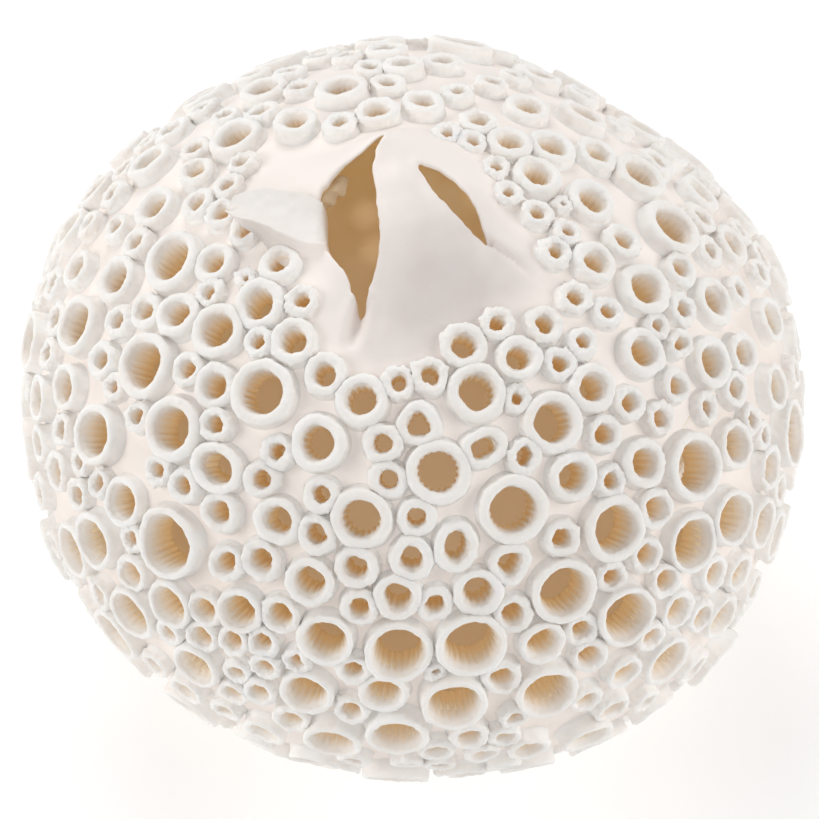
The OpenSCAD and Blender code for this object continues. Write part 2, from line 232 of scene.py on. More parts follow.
ROUNDS = ("lower", "belly", "shoulder", "crown")
KINDS = [f"{part}_{kind}" for part in ROUNDS for kind in ("cups", "rings", "pores")]
collars = {node: read_collars(node) for node in KINDS}
every = [b for node in KINDS for b in collars[node]]


# ---------------------------------------- materials

def new_material(name):
    m = bpy.data.materials.new(name)
    m.use_nodes = True
    nt = m.node_tree
    shader = nt.nodes["Principled BSDF"]
    return m, nt, shader


def link(nt, a, b):
    nt.links.new(a, b)


def noise_node(nt, vector, scale, detail=3.0, rough=0.55):
    n = nt.nodes.new("ShaderNodeTexNoise")
    n.inputs["Scale"].default_value = scale
    n.inputs["Detail"].default_value = detail
    n.inputs["Roughness"].default_value = rough
    link(nt, vector, n.inputs["Vector"])
    return n.outputs["Fac"]


def ramp(nt, fac, stops):
    r = nt.nodes.new("ShaderNodeValToRGB")
    while len(r.color_ramp.elements) < len(stops):
        r.color_ramp.elements.new(0.5)
    for e, (pos, col) in zip(r.color_ramp.elements, stops):
        e.position = pos
        e.color = (*col, 1)
    link(nt, fac, r.inputs["Fac"])
    return r.outputs["Color"]


def mix(nt, fac, a, b):
    m = nt.nodes.new("ShaderNodeMix")
    m.data_type = "RGBA"
    for value, socket in ((fac, m.inputs[0]), (a, m.inputs[6]), (b, m.inputs[7])):
        if hasattr(value, "is_linked"):
            link(nt, value, socket)
        else:
            socket.default_value = value if isinstance(value, float) else (*value, 1)
    return m.outputs[2]


def math_node(nt, op, a, b):
    m = nt.nodes.new("ShaderNodeMath")
    m.operation = op
    for value, socket in ((a, m.inputs[0]), (b, m.inputs[1])):
        if hasattr(value, "is_linked"):
            link(nt, value, socket)
        else:
            socket.default_value = value
    return m.outputs[0]


def times(nt, a, b):
    return math_node(nt, "MULTIPLY", a, b)


def distance_node(nt, vector, place):
    """Distance in metres from a place."""
    n = nt.nodes.new("ShaderNodeVectorMath")
    n.operation = "DISTANCE"
    n.inputs[1].default_value = tuple(place)
    link(nt, vector, n.inputs[0])
    return n.outputs["Value"]


# painted glow for the light that comes through a thin place in the wall
THIN_LIGHT = (1.9, 1.35, 0.80)
BLACK, GREY, WHITE = (0, 0, 0), (0.5, 0.5, 0.5), (1, 1, 1)


def lit(colour, power=3):
    """The colour of light that has passed through clay of a colour."""
    return [c ** power for c in colour]


def paint_bore_light(nt, pos, colour, deep):
    """Painted light: turns the clay amber down the bores, in place of warm light that comes through the
    porcelain and bounces in the bore; gives the painted colour and its painted glow.
    """
    depth = nt.nodes.new("ShaderNodeAttribute")
    depth.attribute_name = "depth"
    uneven = math_node(nt, "SUBTRACT", noise_node(nt, pos, 700.0, 2.0), 0.5)
    patchy = math_node(nt, "ADD", depth.outputs["Fac"], times(nt, uneven, 0.25))
    share = ramp(nt, patchy, [(0.10, BLACK), (0.5, GREY), (0.95, WHITE)])
    return mix(nt, share, colour, deep), mix(nt, share, BLACK, lit(deep))


def light_inside(nt, pos, colour, outer, floor, thin):
    """Painted light inside: pools of painted light over the amber, paler towards the floor, and a painted
    glow where the wall is thin.
    """
    light_pool = ramp(nt, noise_node(nt, pos, 90.0, 2.5), [(0.42, BLACK), (0.68, WHITE)])
    colour = mix(nt, light_pool, colour, lit(outer, 0.5))
    light = mix(nt, light_pool, [0.8 * c for c in lit(outer)], lit(outer, 1.6))
    split = nt.nodes.new("ShaderNodeSeparateXYZ")
    link(nt, pos, split.inputs[0])
    rise = times(nt, split.outputs["Z"], 1 / (30 * MM))
    share = ramp(nt, rise, [(0.15, WHITE), (1.0, BLACK)])
    colour = mix(nt, share, colour, floor)
    light = mix(nt, share, light, lit(floor))
    for place in thin:
        away = times(nt, distance_node(nt, pos, place), 1 / (4 * MM))
        light = mix(nt, ramp(nt, away, [(0.25, WHITE), (0.85, BLACK)]), light, THIN_LIGHT)
    return colour, light


def paint_shade_near_middle(nt, pos, colour, beyond, middle, reach):
    """Painted shade: the clay is darker and without glow round the middle of a lobe, where it lies in shade,
    and turns to the wall's clay and glow away from it.
    """
    away = times(nt, distance_node(nt, pos, [c * MM for c in middle]), 1 / (reach * MM))
    uneven = times(nt, noise_node(nt, pos, 160.0, 2.0), 0.15)
    share = ramp(nt, math_node(nt, "ADD", away, uneven), [(0.20, BLACK), (0.52, WHITE)])
    return mix(nt, share, colour, beyond), mix(nt, share, BLACK, lit(beyond))


def add_specks(nt, pos, colour, size):
    """A few small dark specks of iron in the clay."""
    cells = nt.nodes.new("ShaderNodeTexVoronoi")
    cells.inputs["Scale"].default_value = 110.0
    link(nt, pos, cells.inputs["Vector"])
    spot = math_node(nt, "LESS_THAN", cells.outputs["Distance"], size)
    few = math_node(nt, "GREATER_THAN", cells.outputs["Color"], 0.86)
    return mix(nt, times(nt, spot, few), colour, (0.12, 0.09, 0.07))


def add_grain(nt, pos, shader, grain):
    bump = nt.nodes.new("ShaderNodeBump")
    bump.inputs["Strength"].default_value = grain
    bump.inputs["Distance"].default_value = 0.0003
    fine = times(nt, noise_node(nt, pos, 1500.0, 3.0, 0.6), 0.6)
    coarse = times(nt, noise_node(nt, pos, 420.0, 3.0), 0.8)
    link(nt, math_node(nt, "ADD", fine, coarse), bump.inputs["Height"])
    link(nt, bump.outputs["Normal"], shader.inputs["Normal"])


def clay(name, outer, deep=None, floor=None, beyond=None, middle=(0, 0, 0), reach=40.0, thin=(), grain=0.25,
         rough=0.62, speck=0.0, blush=0.0, glow=0.0, soft=0.0):
    """Unglazed porcelain: faint mottling and a fine grain, warmer where light comes through it. The glow is
    painted light: a faint emission in place of light scattered through the porcelain, which lifts the shade.
    """
    m, nt, shader = new_material(name)
    pos = nt.nodes.new("ShaderNodeNewGeometry").outputs["Position"]
    mottle = ramp(nt, noise_node(nt, pos, 140.0, 4.0), [(0.35, BLACK), (0.7, WHITE)])
    colour = mix(nt, mottle, outer, [c * f for c, f in zip(outer, (0.955, 0.94, 0.925))])
    if blush:
        broad = noise_node(nt, pos, 45.0, 2.0)
        colour = mix(nt, times(nt, broad, blush), colour, (0.80, 0.62, 0.50))
    light = None
    if deep:
        colour, light = paint_bore_light(nt, pos, colour, deep)
    elif floor:
        colour, light = light_inside(nt, pos, colour, outer, floor, thin)
    elif beyond:
        colour, light = paint_shade_near_middle(nt, pos, colour, beyond, middle, reach)
    if light is not None:
        link(nt, light, shader.inputs["Emission Color"])
    else:
        shader.inputs["Emission Color"].default_value = (*lit(outer), 1)
    # painted glow: this emission brightens the clay in light and shade alike
    shader.inputs["Emission Strength"].default_value = glow
    if speck:
        colour = add_specks(nt, pos, colour, speck)
    link(nt, colour, shader.inputs["Base Color"])
    uneven = times(nt, noise_node(nt, pos, 900.0, 2.0), 0.16)
    link(nt, math_node(nt, "ADD", uneven, rough - 0.08), shader.inputs["Roughness"])
    shader.inputs["Specular IOR Level"].default_value = 0.35
    if soft:
        shader.inputs["Subsurface Weight"].default_value = soft
        shader.inputs["Subsurface Radius"].default_value = (1.0, 0.92, 0.85)
        shader.inputs["Subsurface Scale"].default_value = 0.001
    add_grain(nt, pos, shader, grain)
    return m


# AMBER and PALE_AMBER are painted light: the warm light inside the orb on white clay, paler towards the floor
AMBER = (0.92, 0.80, 0.58)
WALL_CLAY = (0.945, 0.885, 0.84)
PALE_AMBER = (0.90, 0.80, 0.68)
# collar_porcelain's amber down the bores and its glow are painted light, the warm light inside the bores
collar_clay = clay("collar_porcelain", (0.95, 0.925, 0.90), deep=(0.89, 0.72, 0.48), grain=0.45, glow=0.09,
                   soft=0.5)
wall_clay = clay("bare_clay", WALL_CLAY, grain=0.45, speck=0.045, blush=0.10, glow=0.04)
# painted glow where light comes through the thin back wall behind a blind bore
thin_places = [(b["p"] - b["n"] * WALL_T) * MM for b in every
               if b["blind"] and abs(b["lon_deg"]) > 166 and b["el_deg"] < -18]
inner_clay = clay("inside_clay", AMBER, floor=PALE_AMBER, thin=thin_places, grain=0.2, rough=0.75, glow=0.09)
# the scrap's amber is painted light: the warm light inside the opening, on white clay
scrap_clay = clay("scrap_clay", (0.74, 0.56, 0.36), grain=0.2, rough=0.75)
# the crown clay's darker middle on the front petal is painted shade
torn_clay = clay("torn_clay", (0.74, 0.685, 0.66), beyond=WALL_CLAY, middle=(4, -11, 87), grain=0.16,
                 rough=0.55, speck=0.03, glow=0.04)
petal_clay = clay("petal_clay", (0.91, 0.875, 0.84), grain=0.10, rough=0.55)
# the fold clay is painted shade: darker on the side and underside of the folded petal
fold_painted_shade_clay = clay("fold_painted_shade_clay", (0.78, 0.73, 0.69), beyond=WALL_CLAY, middle=(-22, -2, 86), reach=18.0,
                 grain=0.16, rough=0.55, glow=0.04)


# ---------------------------------------- the wall

N_LON = 288
LONS = np.linspace(-math.pi, math.pi, N_LON, endpoint=False)


def outer_el(z):
    """Slope of the bare wall at a height."""
    dz = z - CENTRE_Z
    turn_z = SIDE_R * math.sin(TURN)
    if dz > turn_z:
        return math.asin((dz + CAP_DROP) / CAP_R)
    if dz < -turn_z:
        return math.asin((dz - CAP_DROP) / CAP_R)
    return math.asin(dz / SIDE_R)


def inner_el(z):
    """Slope of the wall's inner face at a height."""
    lo, hi = -1.5, 1.5
    for _ in range(40):
        mid = (lo + hi) / 2
        if profile_point(mid, WALL_T)[1] < z:
            lo = mid
        else:
            hi = mid
    return lo


def face_line(z0, z1, inset, step):
    """Points of the section along the outer or inner face between two heights."""
    e0, e1 = (outer_el(z0), outer_el(z1)) if inset == 0 else (inner_el(z0), inner_el(z1))
    n = max(2, int(abs(e1 - e0) * 52 / step) + 1)
    pts = [profile_point(e, inset) for e in np.linspace(e0, e1, n)]
    pts[0] = (pts[0][0], z0)
    pts[-1] = (pts[-1][0], z1)
    return pts


def turned(line):
    """Turns a line of (radius, height) about Z into a grid of points."""
    line = np.array(line)
    x = line[:, 0, None] * np.sin(LONS)
    y = -line[:, 0, None] * np.cos(LONS)
    z = np.repeat(line[:, 1, None], N_LON, 1)
    return np.stack([x, y, z], -1).reshape(-1, 3)


def relief(p):
    """Marks of hands and tools on the bare clay."""
    return 0.07 * noise(p, 5.0, 11) + 0.05 * noise(p, 2.2, 12) + 0.03 * noise(p, 0.9, 13)


def wall_band(name, z0, z1):
    outer = face_line(z0, z1, 0, 0.95)
    inner = face_line(z1, z0, WALL_T, 2.0)
    line = outer + inner
    verts = turned(line)
    is_outer = np.repeat(np.arange(len(line)) < len(outer), N_LON)
    out = verts - np.array([0, 0, CENTRE_Z])
    out /= np.linalg.norm(out, axis=1)[:, None]
    verts = verts + out * (relief(verts) * is_outer)[:, None]
    faces = loop_grid(len(line), N_LON)
    row = faces.min(1) // N_LON
    inside = (row >= len(outer) - 1).astype(int)
    return make_object(name, warp(verts), faces, (wall_clay, inner_clay), inside)


def lower_wall():
    outer = face_line(0.0, SEAM_LOW, 0, 0.95)
    # the foot and the floor inside it, from the middle out and back in
    foot_r = outer[0][0]
    foot = [(r, 0.0) for r in np.linspace(0.01, foot_r - 1.2, 12)] + [(foot_r - 0.45, 0.12)]
    outer[0] = (foot_r + 0.2, 0.5)
    inner = face_line(SEAM_LOW, FLOOR_T + 0.8, WALL_T, 2.0)
    floor_r = inner[-1][0]
    inner += [(r, FLOOR_T) for r in np.linspace(floor_r - 1.5, 0.01, 8)]
    line = foot + outer + inner
    verts = turned(line)
    faces = loop_grid(len(line), N_LON)
    row = faces.min(1) // N_LON
    # the first and last rows close on the axis
    faces = faces[row < len(line) - 1]
    keep = np.abs(faces // N_LON - (faces // N_LON)[:, :1]).max(1) <= 1
    faces = faces[keep]
    caps = []
    base = (len(line) - 1) * N_LON
    verts = np.vstack([verts, [[0, 0, 0.0]], [[0, 0, FLOOR_T]]])
    low, high = len(verts) - 2, len(verts) - 1
    for c in range(N_LON):
        d = (c + 1) % N_LON
        caps.append([c, low, d, d])
        caps.append([base + c, base + d, high, high])
    out = verts - np.array([0, 0, CENTRE_Z])
    out /= np.linalg.norm(out, axis=1)[:, None]
    rows = np.append(np.repeat(np.arange(len(line)), N_LON), [0, len(line)])
    is_outer = (rows >= len(foot)) & (rows < len(foot) + len(outer))
    verts = verts + out * (relief(verts) * is_outer)[:, None]
    inside = (faces.min(1) // N_LON >= len(foot) + len(outer) - 1).astype(int)
    quads = np.vstack([faces, np.array(caps)])
    inside = np.append(inside, np.tile([0, 1], N_LON))
    tri = np.vstack([quads[:, [0, 1, 2]], quads[:, [0, 2, 3]]])
    part = np.append(inside, inside)
    good = (tri[:, 0] != tri[:, 1]) & (tri[:, 1] != tri[:, 2]) & (tri[:, 0] != tri[:, 2])
    return make_object("clay_lower_bowl", warp(verts), tri[good], (wall_clay, inner_clay), part[good])


def frame_of(b):
    """Two directions along the wall, sideways and up the slope, beside the normal."""
    side = np.array([math.cos(b["lon"]), math.sin(b["lon"]), 0.0])
    return side, np.cross(b["n"], side)


def plug_cutter(bores):
    """Short round bars through the wall where the collars pass."""
    verts, faces = [], []
    sides = 28
    ang = np.linspace(0, 2 * math.pi, sides, endpoint=False)
    for k, b in enumerate(bores):
        e1, e2 = frame_of(b)
        ring = np.cos(ang)[:, None] * e1 + np.sin(ang)[:, None] * e2
        base = k * (2 * sides + 2)
        deep = WALL_T - 0.9 if b["blind"] else WALL_T + 1.4
        rows = [b["p"] + b["n"] * h + ring * b["cut"] for h in (-deep, 0.9)]
        verts.append(np.vstack(rows + [[b["p"] - b["n"] * deep], [b["p"] + b["n"] * 0.9]]))
        for q in range(sides):
            j = (q + 1) % sides
            faces += [[base + q, base + j, base + sides + j], [base + q, base + sides + j, base + sides + q],
                      [base + q, base + 2 * sides, base + j],
                      [base + sides + q, base + sides + j, base + 2 * sides + 1]]
    return make_object("cutter", warp(np.vstack(verts)), np.array(faces), (inner_clay,))


def cut_holes(ob, bores):
    cutter = plug_cutter(bores)
    mod = ob.modifiers.new("holes", "BOOLEAN")
    mod.operation = "DIFFERENCE"
    mod.solver = "MANIFOLD"
    mod.object = cutter
    mod.material_mode = "TRANSFER"
    deps = bpy.context.evaluated_depsgraph_get()
    me = bpy.data.meshes.new_from_object(ob.evaluated_get(deps))
    ob.modifiers.clear()
    old = ob.data
    ob.data = me
    bpy.data.meshes.remove(old)
    bpy.data.objects.remove(cutter)
    me.polygons.foreach_set("use_smooth", np.ones(len(me.polygons), bool))
    me.set_sharp_from_angle(angle=math.radians(38))


RIM_W = 1.75
# Collars pressed well out of round: longitude, slope, number of lobes, share of the radius, turn.
ODD_COLLARS = ((25.5, 55, 2, 0.24, 40), (-40.5, 48.5, 2, 0.20, 10), (17, 58, 2, 0.24, 10),
               (-25, 46.5, 1, 0.16, 200), (2, 62, 3, 0.16, 90), (17, 43, 3, 0.14, 30), (8, 46.5, 2, 0.16, 80))
for k, b in enumerate(every):
    b["id"] = k
    # the bore tells how wide the collar is where its neighbours leave it room
    wide = max(b["bore"] + RIM_W if b["bore"] > 1.43 else b["bore"] / 0.45, b["foot"])
    b["R"] = wide * 1.03
    b["rb"] = max(b["bore"] * 1.02, 0.43 * b["R"])
    b["cut"] = b["rb"] * 1.03 + 0.32

for lon, el, count, amount, turn in ODD_COLLARS:
    b = min(every, key=lambda b: math.hypot(b["lon_deg"] - lon, b["el_deg"] - el))
    b["odd"] = (count, amount, math.radians(turn))

tops = np.array([b["p"] + b["n"] * 1.2 for b in every])
for k, b in enumerate(every):
    away = np.linalg.norm(tops - tops[k], axis=1)
    e1, e2 = frame_of(b)
    b["near"] = []
    for j in np.where((away > 0.01) & (away < b["R"] + 5.6))[0]:
        o, d = every[j], away[j]
        if d < b["R"] + o["R"] + 0.3:
            share = (d * d + b["R"] ** 2 - o["R"] ** 2) / (2 * d) - 0.03
            to = tops[j] - tops[k]
            b["near"].append((math.atan2(to @ e2, to @ e1), share))


# ---------------------------------------- the collars

def bump_sum(theta, rng, count, wide, tall):
    """Small crumbs round a rim: narrow rises at random angles."""
    out = np.zeros(len(theta))
    for _ in range(count):
        a, w, t = rng.uniform(0, 2 * math.pi), wide * rng.uniform(0.6, 1.4), tall * rng.uniform(0.4, 1.2)
        d = np.angle(np.exp(1j * (theta - a)))
        out += t * np.exp(-(d / w) ** 2)
    return out


def lobes(theta, rng, size, orders=(2, 3, 4)):
    out = np.zeros(len(theta))
    for k in orders:
        out += size / k * rng.normal(0, 1) * np.cos(k * theta + rng.uniform(0, 6.28))
    return out


def droop(r):
    """How far the wall falls away from its tangent plane at a distance r from the bore."""
    return -r * r / 96.0


def out_of_round(b, theta):
    count, amount, turn = b.get("odd", (1, 0.0, 0.0))
    return amount * np.cos(count * (theta - turn))


def collar_outline(b, theta, rng, big):
    """The collar's reach all round, pressed in where it meets its neighbours."""
    ro = b["R"] * (1 + lobes(theta, rng, 0.032 + 0.02 * (1 - big)) + 0.5 * out_of_round(b, theta))
    for angle, share in b["near"]:
        limit = (share + 0.40) / np.maximum(np.cos(theta - angle), 0.12)
        # the smaller of the two, rounded where they cross
        ro = -np.log(np.exp(-4 * ro) + np.exp(-4 * limit)) / 4
    return ro


FLUTE_W = 0.92


def flutes(theta, rng, count):
    """Ribs down the inside of a bore."""
    phase = rng.uniform(0, 6.28)
    flute = 1 - np.abs(np.sin((theta * count + phase) / 2)) ** 0.8 - 0.38
    return flute * (1 + 0.35 * np.sin(theta * 3 + phase) * rng.uniform(0.3, 1))


# The rows of points that follow run round the collar. Each is a radius, a height over the
# wall, how deep it lies in the bore from 0 to 1, and how rough the clay is there.

def foot_rows(ro, hc, high):
    """The foot, sunk in the clay with a small fillet, and the outer side."""
    return [(ro + 0.16, droop(ro) - 0.85, 0, 0),
            (ro + 0.62, droop(ro) - 0.30, 0, 0),
            (ro + 0.40, droop(ro) - 0.02, 0, 0.2),
            (ro + 0.18, droop(ro) + 0.22, 0, 0.5),
            (ro + 0.04, droop(ro) + 0.30 * high, 0, 0.7),
            (ro - 0.05, 0.5 * hc + 0.02, 0, 0.9),
            (ro - 0.03, 0.78 * hc, 0, 1)]


def lip_rows(ro, hc, wide, thick):
    """The rolled lip, from the outer side over to the bore."""
    rows = []
    for a in np.linspace(-8, 188, 11):
        t = math.radians(a)
        depth = 0.05 * max(a - 120, 0) / 60
        rows.append((ro - wide + wide * math.cos(t), hc + thick * math.sin(t), depth, 1))
    return rows


def bore_rows(b, hc, r_in, rb, thick, flute, big, cup):
    """The bore, which narrows below the lip while its flutes deepen, and its inner end."""
    rows = []
    bottom = -WALL_T + (1.1 if b["blind"] else -0.35)
    for k in range(1, 12):
        h = hc - thick * 0.15 + (bottom - hc + thick * 0.15) * (k / 11) ** 1.15
        fall = hc - h
        ease = 1 - np.exp(-fall / (0.7 + 0.3 * big + 0.9 * cup))
        r = r_in + (np.minimum(rb, r_in * 0.985) - r_in) * ease
        amp = (0.21 + 0.27 * big) * np.clip((fall - 0.35) / 1.9, 0, 1)
        depth = float(np.clip(np.mean(fall) / (2.0 + 2.3 * big), 0, 1))
        rows.append((r - amp * flute, h, depth, 0.12))
    plug = b["cut"] + 0.28
    return rows + [(np.minimum(rb + 0.18, plug), bottom - 0.16, 1, 0), (plug, bottom + 0.1, 1, 0),
                   (plug, bottom + 0.8, 1, 0), (plug, -1.0, 0.5, 0)]


def add_crumbs(r, h, theta, rng, rough, reach, small):
    """Crumbs of clay along the lip and down the outer side."""
    count = int(rng.poisson(5 + 9 * small))
    strong = 0.17 + 0.12 * small
    up = bump_sum(theta, rng, count, 0.26 / reach, strong)
    out = bump_sum(theta, rng, count + 3, 0.30 / reach, strong)
    # row 6 is the top of the outer side, and row 10 the outer shoulder of the lip
    at = np.arange(len(r))[:, None]
    lipness = np.exp(-((at - 10.0) / 3.0) ** 2)
    sideness = np.exp(-((at - 6.5) / 2.6) ** 2)
    w = rough[:, None]
    return r + out * sideness * w * 0.8, h + up * lipness * w * 0.55


def hand_marks(b, flat, rough, high, small):
    """Unevenness left by the fingers along the collar's skin."""
    mid = b["p"] + b["n"] * (high * 0.4)
    away = flat - (mid + ((flat - mid) @ b["n"])[:, None] * b["n"])
    away /= np.maximum(np.linalg.norm(away, axis=1), 1e-6)[:, None]
    sideways = (0.09 * noise(flat, 1.7, 21) + (0.08 + 0.09 * small) * noise(flat, 0.8, 22)
                + (0.06 + 0.11 * small) * noise(flat, 0.42, 23))
    upward = 0.09 * noise(flat + 50, 1.3, 24) + (0.06 + 0.07 * small) * noise(flat + 50, 0.5, 25)
    share = np.clip(rough + 0.1, 0, 1)
    return flat + away * (sideways * share)[:, None] + b["n"] * (upward * share)[:, None]


def collar_mesh(b):
    """One collar as a closed tube-like skin: foot, outer side, rolled lip, bore and inner end."""
    rng = np.random.RandomState(1000 + b["id"])
    big = float(np.clip((2 * b["R"] - 4.2) / 4.0, 0, 1))
    cup = float(np.clip((44 - b["el_deg"]) / 10, 0, 1)) * (0.35 + 0.65 * big)
    n_flutes = max(9, int(round(2 * math.pi * b["rb"] / FLUTE_W)))
    cols = 6 * n_flutes
    theta = np.linspace(0, 2 * math.pi, cols, endpoint=False)
    high = b["high"] * (1.0 + 0.07 * rng.normal()) + 0.15
    ro = collar_outline(b, theta, rng, big)
    tilt = rng.uniform(0, 6.28)
    rise = 1 + 0.07 * rng.normal() * np.cos(theta - tilt) + lobes(theta, rng, 0.035, (2, 3, 5))
    wide = (0.60 + 0.20 * big) * (1 + lobes(theta, rng, 0.10, (1, 2, 3))) * np.clip(ro / b["R"], 0.55, 1)
    wide = np.clip(wide * (1 - 0.38 * cup), 0.30, 0.32 * b["R"])
    thick = wide * 0.95
    rb = b["rb"] * (1 + lobes(theta, rng, 0.025 + 0.035 * (1 - big)) + out_of_round(b, theta))
    flute = flutes(theta, rng, n_flutes)
    hc = high * rise - thick
    rows = foot_rows(ro, hc, high) + lip_rows(ro, hc, wide, thick)
    rows += bore_rows(b, hc, ro - 2 * wide, rb, thick, flute, big, cup)
    r = np.array([np.broadcast_to(row[0], theta.shape) for row in rows])
    h = np.array([np.broadcast_to(row[1], theta.shape) for row in rows])
    rough = np.array([row[3] for row in rows], float)
    r, h = add_crumbs(r, h, theta, rng, rough, b["R"], 1 - big)
    e1, e2 = frame_of(b)
    d = np.cos(theta)[:, None] * e1 + np.sin(theta)[:, None] * e2
    flat = (b["p"] + h[:, :, None] * b["n"] + r[:, :, None] * d[None]).reshape(-1, 3)
    flat = hand_marks(b, flat, np.repeat(rough, cols), high, 1 - big)
    return flat, loop_grid(len(rows), cols), np.repeat([row[2] for row in rows], cols)


def collar_piece(name, members):
    """All the collars of a group, as one object of separate closed solids."""
    verts, tris, depth, base = [], [], [], 0
    for b in members:
        v, f, d = collar_mesh(b)
        verts.append(v)
        depth.append(d)
        tris.append(np.vstack([f[:, [0, 1, 2]], f[:, [0, 2, 3]]]) + base)
        base += len(v)
    points = warp(np.vstack(verts))
    return make_object(name, points, np.vstack(tris), (collar_clay,), depth=np.concatenate(depth))


# ---------------------------------------- the torn crown

# The crown is one sheet of clay over the dome, torn open in two places. Each point is
# [x, y, rise]: how far the clay stands over the plain dome there, all in mm.
# The edges of the long tear, from its tip round to the slit and back.
TEAR_RIGHT = [(-4, 12, 6), (-5, 10, 5), (-5.5, 7, 3.5), (-5, 3, 2.5), (-4.5, -2.5, 2), (-5, -8, 1.5),
              (-6, -11.5, 1), (-6.5, -13.5, 0.5)]
TEAR_LEFT = [(-7, -14, 0.5), (-8, -12, 0.5), (-9.5, -8, 1), (-12.5, -3, 0.5), (-13.5, 0.5, 0.5),
             (-13, 4, 1)]
TEAR_BACK = [(-12.5, 6, 1.5), (-10, 9, 2.5), (-7.5, 10.5, 3.5), (-5, 12, 5.5)]
# The edges of the narrow slot under the right flap.
SLOT_FRONT = [(1, 7.5, 3.5), (2, 6, 2.5), (4, 3, 2), (7.5, -1, 1.5), (11, -4, 1)]
SLOT_FLAP = [(10.5, -2.5, 0.5), (9, 2, 1.5), (7, 5, 2), (4, 7.5, 2.5), (1.5, 8, 3.5)]
# Crests and feet of the lobes: front petal, right flap, back lip and left shoulder.
LOBES = [(-2.5, 8.5, 4.5), (-2, 5, 4), (1, -1, 2.5), (0, -8, 2), (4, -5.5, 1.5), (0, -14.5, 1.5),
         (-3, -12.5, 1.5), (-5, -17.5, 1), (-2, -21, 1), (3, -19.5, 1), (5, -12.5, 1), (9, -17.5, 0.5),
         (10, -10.5, 0.5), (15, -10.5, 0), (14.5, -2.5, 0.5), (13.5, 3, 0.5), (9, 9, 1.5), (6, 13.5, 1.5),
         (4, 11.5, 2.5), (0.5, 11.5, 4), (-1.5, 14, 4), (-3.5, 13, 5), (-7.5, 13, 2.5), (-11.5, 11, 1.5),
         (-15, 6, 1), (-16, 2, 1), (-15.5, -2, 1.5), (-19.5, 0.5, 1.5), (-16.5, -6, 0), (-19.5, -3, 0),
         (-13, -8.5, 0.5), (-13.5, -12.5, 0.5), (-9.5, -15, 0.5), (-10, -18.5, 0.5)]
# Grooves running on from the torn slits: start, end, depth, width, how much higher the petal lies
# and how high the lips stand along both sides.
GROOVES = [((-7, -13.5), (-8.5, -19.5), 2.6, 0.75, 0.2, 0.45),
           ((11, -3), (17.5, -8), 1.3, 0.7, 1.1, 0.1)]


# Beyond this distance from the axis the crown is the plain dome.
PLAIN_R = 34


def dome_z(r, inset=0.0):
    """Height of the plain dome at a distance from the axis, on the outer face or inset from it."""
    return CENTRE_Z - CAP_DROP + np.sqrt(np.maximum((CAP_R - inset) ** 2 - r ** 2, 1))


def crown_controls():
    pts = TEAR_RIGHT + TEAR_LEFT + TEAR_BACK + SLOT_FRONT + SLOT_FLAP + LOBES
    for a in np.arange(0, 360, 12.0):
        # feet of the lobes: further out at the front, where the clay is bare
        front = max(0.0, math.cos(math.radians(a)))
        for r in (19.4 + 6.0 * front, 23 + 7 * front, PLAIN_R):
            pts.append((r * math.sin(math.radians(a)), -r * math.cos(math.radians(a)), 0.0))
    return np.array(pts)


def plate(centres, heights, at):
    """Smooth surface through scattered heights: a thin plate."""
    def kernel(d):
        return d * d * np.log(np.maximum(d, 1e-9))
    n = len(centres)
    dist = np.linalg.norm(centres[:, None] - centres[None], axis=2)
    side = np.hstack([np.ones((n, 1)), centres])
    system = np.block([[kernel(dist) + np.eye(n) * 0.6, side], [side.T, np.zeros((3, 3))]])
    weights = np.linalg.solve(system, np.append(heights, np.zeros(3)))
    d = np.linalg.norm(at[:, None] - centres[None], axis=2)
    return kernel(d) @ weights[:n] + np.hstack([np.ones((len(at), 1)), at]) @ weights[n:]


def smooth_loop(points, spacing, closed=True):
    """An even, smooth curve through points."""
    p = np.array(points, float)
    n = len(p)
    out = []
    for k in range(n if closed else n - 1):
        if closed:
            a, b, c, d = p[(k - 1) % n], p[k], p[(k + 1) % n], p[(k + 2) % n]
        else:
            a, b, c, d = p[max(k - 1, 0)], p[k], p[k + 1], p[min(k + 2, n - 1)]
        for f in np.linspace(0, 1, 16, endpoint=False):
            out.append(b + 0.5 * f * (c - a + f * (2 * a - 5 * b + 4 * c - d + f * (3 * (b - c) + d - a))))
    if not closed:
        out.append(p[-1])
    out = np.array(out)
    ring = np.vstack([out, out[:1]]) if closed else out
    seg = np.linalg.norm(np.diff(ring, axis=0), axis=1)
    s = np.append(0, np.cumsum(seg))
    count = max(8, int(round(s[-1] / spacing)))
    at = np.linspace(0, s[-1], count, endpoint=not closed)
    return np.stack([np.interp(at, s, ring[:, k]) for k in range(ring.shape[1])], 1)


def inside_loop(pts, loop):
    x, y = pts[:, 0], pts[:, 1]
    inside = np.zeros(len(pts), bool)
    n = len(loop)
    for k in range(n):
        x0, y0 = loop[k][:2]
        x1, y1 = loop[(k + 1) % n][:2]
        hit = ((y0 > y) != (y1 > y))
        if hit.any():
            cross = (x1 - x0) * (y - y0) / (y1 - y0 if y1 != y0 else 1e-9) + x0
            inside ^= hit & (x < cross)
    return inside


def to_curve(pts, loops):
    """Distance from points to the nearest torn edge."""
    best = np.full(len(pts), 99.0)
    for loop in loops:
        a = loop[:, :2]
        b = np.roll(a, -1, axis=0)
        ab = b - a
        length = np.maximum((ab ** 2).sum(1), 1e-9)
        for k0 in range(0, len(pts), 4000):
            q = pts[k0:k0 + 4000, None] - a[None]
            t = np.clip((q * ab[None]).sum(2) / length, 0, 1)
            d = np.linalg.norm(q - t[:, :, None] * ab[None], axis=2).min(1)
            best[k0:k0 + 4000] = np.minimum(best[k0:k0 + 4000], d)
    return best


def to_segment(pts, a, b):
    a, b = np.array(a, float), np.array(b, float)
    t = np.clip(((pts - a) @ (b - a)) / ((b - a) @ (b - a)), 0, 1)
    return np.linalg.norm(pts - (a + t[:, None] * (b - a)), axis=1), t


